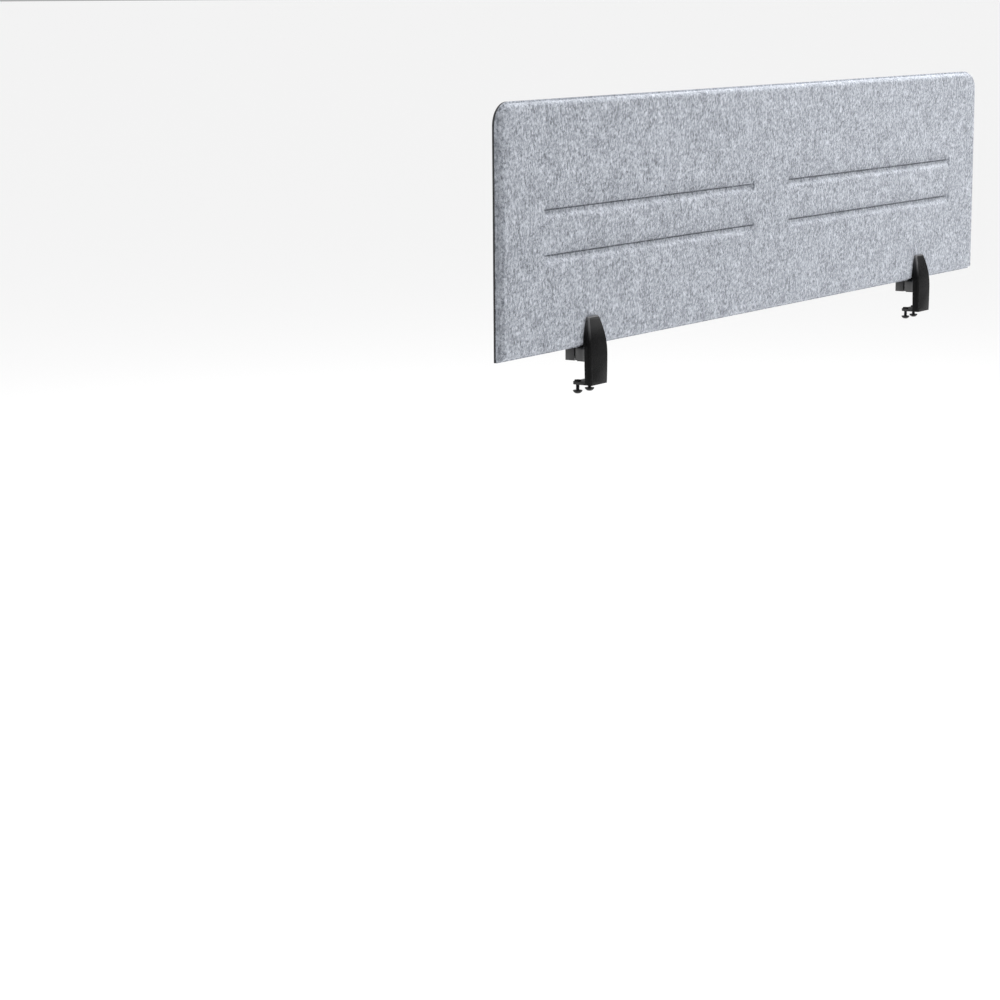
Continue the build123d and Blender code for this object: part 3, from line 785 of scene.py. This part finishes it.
@dataclass
class FeltFace:
    """Moulded felt: a flat pressed rim, a round shoulder and four pressed grooves."""

    palette: Palette
    rim_width: float = 2.5 * MM
    rim_thickness: float = 2.0 * MM
    shoulder: float = 6.0 * MM
    corner: float = 1.2 * MM
    groove_length: float = 547.0 * MM
    groove_inner_end: float = 51.0 * MM
    crease_heights: tuple[float, float] = (149.7 * MM, 209.2 * MM)
    groove_depth: float = 4.0 * MM
    end_run: float = 5.0 * MM
    notch_width: float = 1.9 * MM
    notch_depth: float = 1.0 * MM
    coarse: float = 8.0 * MM
    waviness: float = 0.16 * MM
    wave_scale: float = 14.0
    wave_seed: float = 3.0
    wave_fade: float = 20.0 * MM

    GROOVE_LOWER = 17.0 * MM
    GROOVE_UPPER = 12.0 * MM

    def groove_starts(self) -> tuple[float, float]:
        """Left end of the left and of the right grooves."""
        return -self.groove_inner_end - self.groove_length, self.groove_inner_end

    def columns(self, low: float, high: float) -> list[float]:
        """Grid lines along the panel, close together at the grooves' ends."""
        ends = sorted(x + run for x in self.groove_starts() for run in (0.0, self.groove_length))
        margin = self.end_run + 1.5 * MM
        lines, place = [], low
        for end in ends:
            lines += steps(place, end - margin, self.coarse)
            lines += steps(end - margin, end + margin, 0.7 * MM)
            place = end + margin
        return lines + steps(place, high, self.coarse) + [high]

    def rows(self, low: float, high: float) -> list[float]:
        """Grid lines up the panel, close together across the grooves."""
        lines, place = [], low
        for crease in self.crease_heights:
            lines += steps(place, crease - self.GROOVE_LOWER, self.coarse)
            fine_low, fine_high = crease - 2.8 * MM, crease + 0.6 * MM
            lines += steps(crease - self.GROOVE_LOWER, fine_low, 0.8 * MM)
            lines += steps(fine_low, crease, 0.28 * MM) + steps(crease, fine_high, 0.2 * MM)
            lines += steps(fine_high, crease + self.GROOVE_UPPER, 0.8 * MM)
            place = crease + self.GROOVE_UPPER
        return lines + steps(place, high, self.coarse) + [high]

    def profile(self, front: float, back: float) -> list[tuple[float, float]]:
        """Distance in from the edge and Y, from the felt's back edge over the rim and the shoulder."""
        rim = back - self.rim_thickness
        softness = 0.4 * MM
        points = [(0.0, back), (0.0, rim + softness)]
        points += [(0.12 * MM, rim + 0.12 * MM), (softness, rim)]
        for i in range(4):
            angle = math.pi / 8 * i
            inset = self.rim_width - self.corner * (1 - math.sin(angle))
            points.append((inset, rim - self.corner * (1 - math.cos(angle))))
        turns = 10
        centre = self.rim_width + self.shoulder, front + self.shoulder
        for i in range(turns + 1):
            angle = math.pi / 2 * i / turns
            inset = centre[0] - self.shoulder * math.cos(angle)
            points.append((inset, centre[1] - self.shoulder * math.sin(angle)))
        points += [(centre[0] + run, front) for run in (3.0 * MM, 10.0 * MM)]
        return points

    def build(self) -> Object:
        """Make the felt face.

        Returns:
            The finished piece.
        """
        low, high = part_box("felt_face")
        outline = PanelOutline(low, high)
        left, right = outline.field_columns()
        bottom, top = outline.field_rows()

        def surface(x: float, z: float) -> float:
            """Y of the face, with the slight waviness that moulding leaves."""
            edge = min(x - left, right - x, z - bottom, top - z)
            fade = min(1.0, max(0.0, edge / self.wave_fade))
            wave = noise.noise(Vector((x * self.wave_scale, self.wave_seed, z * self.wave_scale))) * 0.5 + 0.5
            return low.y + self.waviness * wave * fade

        mesh = outline.mesh("moulded_felt", self.columns(left, right), self.rows(bottom, top),
                            self.profile(low.y, high.y), surface)
        obj = new_object("moulded_felt", mesh)
        groove = Recipe("pressed_groove", {
            "Crease height": 0.2, "Start": 0.0, "Length": 0.5, "Depth": self.groove_depth,
            "End run": self.end_run, "Notch width": self.notch_width, "Notch depth": self.notch_depth,
            "Roll height": self.GROOVE_UPPER, "Wall drop": 9.0 * MM, "Front limit": 0.0,
        }, write_groove)
        material = self.palette.material(Surface.FELT)
        for crease in self.crease_heights:
            for start in self.groove_starts():
                groove.apply(obj, material, Crease_height=crease, Start=start, Length=self.groove_length,
                             Front_limit=(low.y + high.y) / 2)
        finish_mesh(obj.data, 38.0)
        self.palette.dress(obj, Surface.FELT)
        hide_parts("felt_face")
        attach(obj, "panel")
        return obj


@dataclass
class BackingBoard:
    """Charcoal board behind the felt, with softened edges."""

    palette: Palette
    softness: float = 0.5 * MM
    coarse: float = 40.0 * MM

    def build(self) -> Object:
        """Make the board.

        Returns:
            The finished piece.
        """
        low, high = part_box("backing_board")
        outline = PanelOutline(low, high)
        left, right = outline.field_columns()
        bottom, top = outline.field_rows()
        profile = [(0.0, low.y)]
        rounds = 4
        for i in range(rounds + 1):
            angle = math.pi / 2 * i / rounds
            inset = self.softness * (1 - math.cos(angle))
            profile.append((inset, high.y - self.softness * (1 - math.sin(angle))))
        profile.append((self.softness + 2.0 * MM, high.y))
        columns = steps(left, right, self.coarse) + [right]
        rows = steps(bottom, top, self.coarse) + [top]
        mesh = outline.mesh("charcoal_board", columns, rows, profile, lambda x, z: high.y)
        obj = new_object("charcoal_board", mesh)
        finish_mesh(obj.data)
        self.palette.dress(obj, Surface.BOARD)
        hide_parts("backing_board")
        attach(obj, "panel")
        return obj


# ------------------------------------------------------------------ tools for the clamps
BODIES = {node: body for body, nodes in frame["record"]["behaviour"]["bodies"].items() for node in nodes}


def stand_for(obj: Object, node: str) -> Object:
    """Let a piece stand for one CAD node: the node is hidden and the piece goes on the node's body.

    Args:
        obj: the piece.
        node: the CAD node's name.

    Returns:
        The piece.
    """
    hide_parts(node)
    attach(obj, BODIES[node])
    LOG.info("%s: %d faces", obj.name, len(obj.data.polygons))
    return obj


def flats(across: float) -> Callable[[float], float]:
    """Outline of a hexagon, as its distance from the axis at each angle."""
    def reach(angle: float) -> float:
        """Distance from the axis to the hexagon's side."""
        return across / 2 / math.cos((angle + math.pi / 6) % (math.pi / 3) - math.pi / 6)
    return reach


def turned_mesh(name: str, rings: Sequence[tuple[float | Callable[[float], float], float]],
                sides: int = 48) -> Mesh:
    """Closed bar about Z, made of rings from one end to the other.

    Args:
        name: the mesh's name.
        rings: each ring's radius, or its outline, and its Z.
        sides: faces round the bar.

    Returns:
        The mesh, closed by a flat face at each end.
    """
    bm = bmesh.new()
    made = []
    for outline, z in rings:
        ring = []
        for i in range(sides):
            angle = 2 * math.pi * i / sides
            radius = outline(angle) if callable(outline) else outline
            ring.append(bm.verts.new((radius * math.cos(angle), radius * math.sin(angle), z)))
        made.append(ring)
    for lower, upper in zip(made, made[1:]):
        for i in range(sides):
            after = (i + 1) % sides
            bm.faces.new((lower[i], lower[after], upper[after], upper[i]))
    bm.faces.new(reversed(made[0]))
    bm.faces.new(made[-1])
    mesh = bpy.data.meshes.new(name)
    bm.to_mesh(mesh)
    bm.free()
    return mesh


def move_to_axis(obj: Object, low: Vector, high: Vector) -> None:
    """Move a turned mesh from the origin's upright axis to the middle of a box."""
    middle = (low + high) / 2
    obj.data.transform(Matrix.Translation((middle.x, middle.y, 0.0)))


def mark_edge_tightness(mesh: Mesh, radius: float = 2.4 * MM) -> None:
    """Note on every face how tightly the surface turns there, for glossier edges and a painted highlight.

    Args:
        mesh: the mesh.
        radius: a rounding as tight as this, or tighter, counts in full.
    """
    bm = bmesh.new()
    bm.from_mesh(mesh)
    values = []
    for face in bm.faces:
        tightest = 0.0
        for edge in face.edges:
            if len(edge.link_faces) == 2 and edge.calc_length() > 0.0:
                width = sum(side.calc_area() for side in edge.link_faces) / 2 / edge.calc_length()
                tightest = max(tightest, edge.calc_face_angle(0.0) / max(width, 1e-6))
        values.append(min(1.0, tightest * radius))
    bm.free()
    mesh.attributes.new(EDGE_TIGHTNESS, "FLOAT", "FACE").data.foreach_set("value", values)


@dataclass(frozen=True)
class Softener:
    """Rounds off the sharp edges of a piece's own copy."""

    palette: Palette
    rounds: int = 2
    fold_degrees: float = 28.0
    flat_degrees: float = 0.6

    def build(self, node: str, surface: Surface, width: float) -> Object:
        """Make the copy.

        Args:
            node: the CAD node that it stands for.
            surface: its finish.
            width: how far in from each sharp edge the rounding starts.

        Returns:
            The finished piece.
        """
        mesh = frame["nodes"][node].data.copy()
        bm = bmesh.new()
        bm.from_mesh(mesh)
        bmesh.ops.remove_doubles(bm, verts=bm.verts, dist=1e-6)
        bmesh.ops.dissolve_limit(
            bm, angle_limit=math.radians(self.flat_degrees), verts=bm.verts, edges=bm.edges,
            use_dissolve_boundaries=False, delimit={"NORMAL"},
        )
        bmesh.ops.recalc_face_normals(bm, faces=bm.faces)
        bm.to_mesh(mesh)
        bm.free()
        mesh.polygons.foreach_set("use_smooth", [True] * len(mesh.polygons))
        obj = new_object(f"soft_{node}", mesh)
        bevel = obj.modifiers.new("edges", "BEVEL")
        bevel.width = width
        bevel.segments = self.rounds
        bevel.limit_method = "ANGLE"
        bevel.angle_limit = math.radians(self.fold_degrees)
        bevel.harden_normals = True
        bpy.context.view_layer.update()
        evaluated = obj.evaluated_get(bpy.context.evaluated_depsgraph_get())
        obj.data = bpy.data.meshes.new_from_object(evaluated)
        obj.modifiers.clear()
        bpy.data.meshes.remove(mesh)
        obj.data.name = obj.name
        mark_edge_tightness(obj.data)
        self.palette.dress(obj, surface)
        return stand_for(obj, node)


# ------------------------------------------------------------------ the clamps
@dataclass
class ThreadForm:
    """Size of a screw's thread."""

    pitch: float = 0.8 * MM
    depth: float = 0.42 * MM
    rings_per_turn: int = 6
    sides: int = 36

    def places(self, low: float, high: float) -> list[float]:
        """Heights of the rings that a thread needs."""
        return steps(low, high, self.pitch / self.rings_per_turn) + [high]

    def cut(self, obj: Object, material: Material, radius: float, low: float,
            high: float) -> None:
        """Cut the thread into a bar that stands on Z.

        Args:
            obj: the bar.
            material: its finish.
            radius: its radius.
            low: where the thread starts.
            high: where it ends.
        """
        thread = Recipe("screw_thread", {
            "Pitch": self.pitch, "Radius": 0.0025, "Low end": 0.0, "High end": 0.01,
            "Thread depth": self.depth,
        }, write_thread)
        thread.apply(obj, material, Radius=radius, Low_end=low, High_end=high)


@dataclass
class FlushScrews:
    """A pair of countersunk screws side by side, with hexagon sockets in their heads."""

    palette: Palette
    thread: ThreadForm = field(default_factory=lambda: ThreadForm(0.5 * MM, 0.27 * MM, 5, 24))
    head_radius: float = 2.9 * MM
    head_height: float = 1.7 * MM
    shank_radius: float = 1.5 * MM
    socket_flats: float = 2.0 * MM
    socket_depth: float = 1.1 * MM
    chamfer: float = 0.3 * MM

    def build(self, node: str, along: int) -> Object:
        """Make both screws of one node.

        Args:
            node: the CAD node that they stand for.
            along: 1 if they point along +Y, -1 if along -Y.

        Returns:
            The finished piece.
        """
        low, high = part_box(node)
        length = high.y - low.y
        threaded = self.thread.places(self.head_height + self.chamfer, length - self.chamfer)
        rings = [(flats(self.socket_flats), self.socket_depth), (flats(self.socket_flats), 0.1 * MM),
                 (flats(self.socket_flats + 0.3 * MM), 0.0), (self.head_radius - 0.1 * MM, 0.0),
                 (self.head_radius, 0.1 * MM), (self.shank_radius, self.head_height)]
        rings += [(self.shank_radius, z) for z in threaded]
        rings.append((self.shank_radius - self.chamfer, length))
        single = new_object(f"threaded_{node}", turned_mesh(node, rings, self.thread.sides))
        self.thread.cut(single, self.palette.material(Surface.ZINC), self.shank_radius,
                        threaded[0], threaded[-1])
        turn = Matrix.Rotation(-math.pi / 2 * along, 4, "X")
        face = low.y if along > 0 else high.y
        bm = bmesh.new()
        for x in (low.x + self.head_radius, high.x - self.head_radius):
            placed = single.data.copy()
            placed.transform(Matrix.Translation((x, face, (low.z + high.z) / 2)) @ turn)
            bm.from_mesh(placed)
            bpy.data.meshes.remove(placed)
        bm.to_mesh(single.data)
        bm.free()
        finish_mesh(single.data, 30.0)
        self.palette.dress(single, Surface.ZINC)
        return stand_for(single, node)


@dataclass
class ClampBody:
    """The fixed half of a clamp: bracket, cover, arm and the rubber between them and what they hold."""

    side: str
    palette: Palette
    cover_softness: float = 0.30 * MM
    steel_softness: float = 0.35 * MM
    rubber_softness: float = 0.20 * MM
    rib_width: float = 0.9 * MM
    rib_count: int = 8
    rib_rise: float = 0.40 * MM

    HARDWARE = {"guide_pins": Surface.ZINC, "draw_nut": Surface.ZINC}

    def ribbed_pad(self) -> Object:
        """Rubber pad under the arm, with ribs along X on its underside.

        Returns:
            The finished piece.
        """
        node = f"{self.side}_desktop_pad"
        low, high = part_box(node)
        mesh = frame["nodes"][node].data.copy()
        for vertex in mesh.vertices:
            if vertex.co.z < low.z + self.rib_rise:
                vertex.co.z = low.z + self.rib_rise
        obj = new_object(f"ribbed_{node}", mesh)
        ribs = Recipe("pad_ribs", {
            "Count": self.rib_count, "Middle": 0.0, "Near": 0.0, "Far": 0.01, "Height": 0.0,
            "Rib width": self.rib_width, "Rib length": 0.03,
        }, write_ribs)
        inset = self.rib_width
        ribs.apply(obj, self.palette.material(Surface.RUBBER), Middle=(low.x + high.x) / 2,
                   Near=low.y + inset, Far=high.y - inset, Height=low.z + self.rib_width / 2,
                   Rib_length=high.x - low.x - 4 * inset)
        finish_mesh(obj.data)
        self.palette.dress(obj, Surface.RUBBER)
        return stand_for(obj, node)

    def build(self) -> None:
        """Make every fixed piece."""
        soften = Softener(self.palette)
        soften.build(f"{self.side}_outer_cover", Surface.NYLON, self.cover_softness)
        soften.build(f"{self.side}_arm_block", Surface.SATIN, self.cover_softness)
        soften.build(f"{self.side}_bracket", Surface.COATED, self.steel_softness)
        soften.build(f"{self.side}_outer_grip_pad", Surface.RUBBER, self.rubber_softness)
        self.ribbed_pad()
        FlushScrews(self.palette).build(f"{self.side}_cover_screws", -1)
        FlushScrews(self.palette).build(f"{self.side}_arm_screws", 1)
        for name, surface in self.HARDWARE.items():
            self.palette.dress(frame["nodes"][f"{self.side}_{name}"], surface)


@dataclass
class ClampJaw:
    """The sliding half of a clamp and its rubber pad."""

    side: str
    palette: Palette
    softness: float = 0.30 * MM
    rubber_softness: float = 0.20 * MM

    def build(self) -> None:
        """Make the jaw and its pad."""
        soften = Softener(self.palette)
        soften.build(f"{self.side}_inner_jaw", Surface.SATIN, self.softness)
        soften.build(f"{self.side}_inner_grip_pad", Surface.RUBBER, self.rubber_softness)


@dataclass
class DrawBolt:
    """Socket-head bolt along Y, with a knurled head and a groove for its ring."""

    side: str
    palette: Palette
    thread: ThreadForm = field(default_factory=ThreadForm)
    shank_radius: float = 2.5 * MM
    head_radius: float = 4.25 * MM
    head_height: float = 5.0 * MM
    head_chamfer: float = 0.45 * MM
    knurl: float = 0.16 * MM
    knurl_count: int = 30
    socket_flats: float = 4.0 * MM
    socket_depth: float = 2.5 * MM
    groove_core: float = 1.7 * MM
    chamfer: float = 0.5 * MM

    def build(self) -> None:
        """Make the bolt and give the ring its finish."""
        node = f"{self.side}_draw_bolt"
        low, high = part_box(node)
        ring_low, ring_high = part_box(f"{self.side}_retaining_ring")
        start, end = low.y, high.y
        seat = end - self.head_height
        body = self.head_radius - self.knurl
        socket = flats(self.socket_flats)
        threaded = self.thread.places(start + self.chamfer, ring_low.y - self.chamfer)
        rings = [(self.shank_radius - self.chamfer, start)]
        rings += [(self.shank_radius, z) for z in threaded]
        rings += [(self.shank_radius, ring_low.y), (self.groove_core, ring_low.y),
                  (self.groove_core, ring_high.y), (self.shank_radius, ring_high.y),
                  (self.shank_radius, seat)]
        rings += [(body - 0.2 * MM, seat), (body, seat + 0.2 * MM), (body, end - self.head_chamfer),
                  (body - self.head_chamfer, end), (flats(self.socket_flats + 0.5 * MM), end),
                  (socket, end - 0.25 * MM), (socket, end - self.socket_depth)]
        obj = new_object(f"threaded_{node}", turned_mesh(node, rings, self.thread.sides))
        material = self.palette.material(Surface.OXIDE)
        self.thread.cut(obj, material, self.shank_radius, threaded[0], threaded[-1])
        ridges = Recipe("head_knurl", {
            "Count": self.knurl_count, "Radius": 0.004, "Ridge width": 0.0005, "Height": 0.004,
            "Middle": 0.0,
        }, write_ridges)
        ridge_height = self.head_height - 2.6 * self.head_chamfer
        ridges.apply(obj, material, Radius=body, Ridge_width=self.knurl * 2.8, Height=ridge_height,
                     Middle=(seat + end - self.head_chamfer) / 2)
        turn = Matrix.Rotation(-math.pi / 2, 4, "X")
        middle = Vector(((low.x + high.x) / 2, 0.0, (low.z + high.z) / 2))
        obj.data.transform(Matrix.Translation(middle) @ turn)
        finish_mesh(obj.data, 30.0)
        self.palette.dress(obj, Surface.OXIDE)
        stand_for(obj, node)
        self.palette.dress(frame["nodes"][f"{self.side}_retaining_ring"], Surface.ZINC)


@dataclass
class ThumbScrew:
    """Threaded stem with a mushroom knob below and a rubber pressure pad on its tip."""

    side: str
    letter: str
    palette: Palette
    thread: ThreadForm = field(default_factory=ThreadForm)
    tip_radius: float = 1.5 * MM
    tip_length: float = 1.8 * MM
    knob_rim: float = 1.0 * MM
    knob_bulge: tuple[float, float] = (5.36 * MM, 3.29 * MM)
    knob_end_radius: float = 3.0 * MM
    knob_softness: float = 0.35 * MM
    socket_flats: float = 4.0 * MM
    socket_depth: float = 1.6 * MM
    rubber_softness: float = 0.25 * MM

    def stem(self) -> Object:
        """Threaded stem with its narrow tip.

        Returns:
            The finished piece.
        """
        node = f"{self.side}_screw_stem_{self.letter}"
        low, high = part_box(node)
        radius = (high.x - low.x) / 2
        shoulder = high.z - self.tip_length + 1.0 * MM
        threaded = self.thread.places(low.z + 2.4 * MM, shoulder - 0.4 * MM)
        rings = [(radius, low.z)] + [(radius, z) for z in threaded]
        rings += [(radius - 0.35 * MM, shoulder), (self.tip_radius, shoulder),
                  (self.tip_radius, high.z - 0.2 * MM), (self.tip_radius - 0.2 * MM, high.z)]
        obj = new_object(f"threaded_{node}", turned_mesh(node, rings, self.thread.sides))
        self.thread.cut(obj, self.palette.material(Surface.OXIDE), radius, threaded[0], threaded[-1])
        move_to_axis(obj, low, high)
        finish_mesh(obj.data, 30.0)
        self.palette.dress(obj, Surface.OXIDE)
        return stand_for(obj, node)

    def knob(self) -> Object:
        """Mushroom knob, flat above and rounded in to its end, with a hexagon socket.

        Returns:
            The finished piece.
        """
        node = f"{self.side}_screw_knob_{self.letter}"
        low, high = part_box(node)
        rim, soft = (high.x - low.x) / 2, self.knob_softness
        socket = flats(self.socket_flats)
        rings: list = [(socket, low.z + self.socket_depth), (socket, low.z + 0.25 * MM),
                       (flats(self.socket_flats + 0.5 * MM), low.z)]
        bulge = (self.knob_bulge[0], high.z - self.knob_bulge[1])
        start, end = (self.knob_end_radius, low.z), (rim, high.z - self.knob_rim)
        rounds = 12
        for i in range(rounds + 1):
            t = i / rounds
            weights = (1 - t) ** 2, 2 * t * (1 - t), t * t
            corners = list(zip(weights, (start, bulge, end)))
            rings.append(tuple(sum(k * p[axis] for k, p in corners) for axis in (0, 1)))
        for i in range(5):
            angle = math.pi / 2 * i / 4
            rings.append((rim - soft * (1 - math.cos(angle)), high.z - soft * (1 - math.sin(angle))))
        rings.append((self.knob_end_radius, high.z))
        obj = new_object(f"turned_{node}", turned_mesh(node, rings, 60))
        move_to_axis(obj, low, high)
        finish_mesh(obj.data, 40.0)
        self.palette.dress(obj, Surface.KNOB)
        return stand_for(obj, node)

    def build(self) -> None:
        """Make the stem, the knob and the pad."""
        self.stem()
        self.knob()
        Softener(self.palette).build(f"{self.side}_pressure_pad_{self.letter}", Surface.RUBBER,
                                     self.rubber_softness)


@dataclass
class DeskClamp:
    """One desk clamp: its fixed body, its sliding jaw, the bolt between them and two thumb screws."""

    side: str
    palette: Palette

    def build(self) -> None:
        """Make every piece of the clamp."""
        ClampBody(self.side, self.palette).build()
        ClampJaw(self.side, self.palette).build()
        DrawBolt(self.side, self.palette).build()
        for letter in "ab":
            ThumbScrew(self.side, letter, self.palette).build()
        LOG.info("%s clamp built", self.side)


# ------------------------------------------------------------------ the studio
@dataclass(frozen=True)
class Lamp:
    """One soft rectangular light."""

    name: str
    place: Point
    target: Point
    width: float
    height: float
    power: float

    def build(self) -> None:
        """Put the light in the scene."""
        data = bpy.data.lights.new(self.name, "AREA")
        data.shape = "RECTANGLE"
        data.size = self.width
        data.size_y = self.height
        data.energy = self.power
        lamp = bpy.data.objects.new(self.name, data)
        lamp.location = self.place
        away = Vector(self.place) - Vector(self.target)
        lamp.rotation_euler = away.to_track_quat("Z", "Y").to_euler()
        bpy.context.scene.collection.objects.link(lamp)


@dataclass
class Studio:
    """Pale floor, soft lights and the camera."""

    camera_place: Point = (-3.4452, -1.9262, 0.4865)
    camera_target: Point = (-0.6917, 0.0100, -0.1581)
    camera_roll: float = -0.43
    lens: float = 95.56
    floor_height: float = -0.745
    floor_size: float = 800.0
    floor_colour: float = 0.94
    sky: float = 0.42
    sun_strength: float = 1.8
    sun_spread: float = 50.0
    sun_from: Point = (0.24, -0.12, 1.0)
    lamps: tuple[Lamp, ...] = (
        Lamp("overhead", (0.85, -0.12, 2.2), (0.45, 0.0, 0.2), 1.8, 1.4, 76.0),
        Lamp("front", (2.5, -1.9, 1.2), (0.6, 0.0, 0.2), 1.4, 1.4, 24.0),
        Lamp("edge", (-2.0, -2.25, 1.30), (-0.49, 0.0, 0.04), 0.05, 1.3, 3.0),
        Lamp("back", (-0.6, 2.6, 1.5), (0.0, 0.0, 0.2), 1.6, 1.6, 20.0),
    )

    def camera(self) -> None:
        """Stand the camera beyond the left end, a little above the panel's top, looking down along it."""
        data = bpy.data.cameras.new("camera")
        data.lens = self.lens
        data.sensor_width = 36.0
        data.clip_end = 1500.0
        obj = bpy.data.objects.new("camera", data)
        back = Vector(self.camera_place) - Vector(self.camera_target)
        turn = back.to_track_quat("Z", "Y").to_matrix()
        roll = Matrix.Rotation(math.radians(self.camera_roll), 3, "Z")
        obj.matrix_world = Matrix.Translation(self.camera_place) @ (turn @ roll).to_4x4()
        bpy.context.scene.collection.objects.link(obj)
        bpy.context.scene.camera = obj

    def floor(self) -> None:
        """Lay the pale floor well below the clamps."""
        half = self.floor_size / 2
        mesh = bpy.data.meshes.new("floor")
        corners = [(-half, -half), (half, -half), (half, half), (-half, half)]
        mesh.from_pydata([(x, y, self.floor_height) for x, y in corners], [], [(0, 1, 2, 3)])
        floor = new_object("floor", mesh)
        material, w = new_material("floor")
        shader = w.add("ShaderNodeBsdfPrincipled", {
            "Base Color": (*[self.floor_colour] * 3, 1.0), "Roughness": 0.9, "Specular IOR Level": 0.1,
        })
        w.add("ShaderNodeOutputMaterial", {"Surface": shader.outputs["BSDF"]})
        mesh.materials.append(material)

    def world(self) -> None:
        """Even pale light from all round."""
        world = bpy.data.worlds.new("world")
        world.use_nodes = True
        background = world.node_tree.nodes["Background"]
        background.inputs["Color"].default_value = (1.0, 1.0, 1.0, 1.0)
        background.inputs["Strength"].default_value = self.sky
        bpy.context.scene.world = world
        bpy.context.scene.view_settings.view_transform = "Standard"

    def sun(self) -> None:
        """Broad light from high up, the same at every distance."""
        data = bpy.data.lights.new("sun", "SUN")
        data.energy = self.sun_strength
        data.angle = math.radians(self.sun_spread)
        lamp = bpy.data.objects.new("sun", data)
        lamp.rotation_euler = Vector(self.sun_from).to_track_quat("Z", "Y").to_euler()
        bpy.context.scene.collection.objects.link(lamp)

    def build(self) -> None:
        """Set up everything round the object."""
        self.camera()
        self.floor()
        self.world()
        self.sun()
        for lamp in self.lamps:
            lamp.build()


def main() -> None:
    """Build the studio, then the panel and its clamps."""
    logging.basicConfig(level=logging.INFO, format="%(name)s: %(message)s")
    Studio().build()
    palette = Palette()
    for part in (FeltFace(palette), BackingBoard(palette)):
        piece = part.build()
        LOG.info("%s: %d faces", piece.name, len(piece.data.polygons))
    for side in ("left", "right"):
        DeskClamp(side, palette).build()


if __name__ == "__main__":
    main()
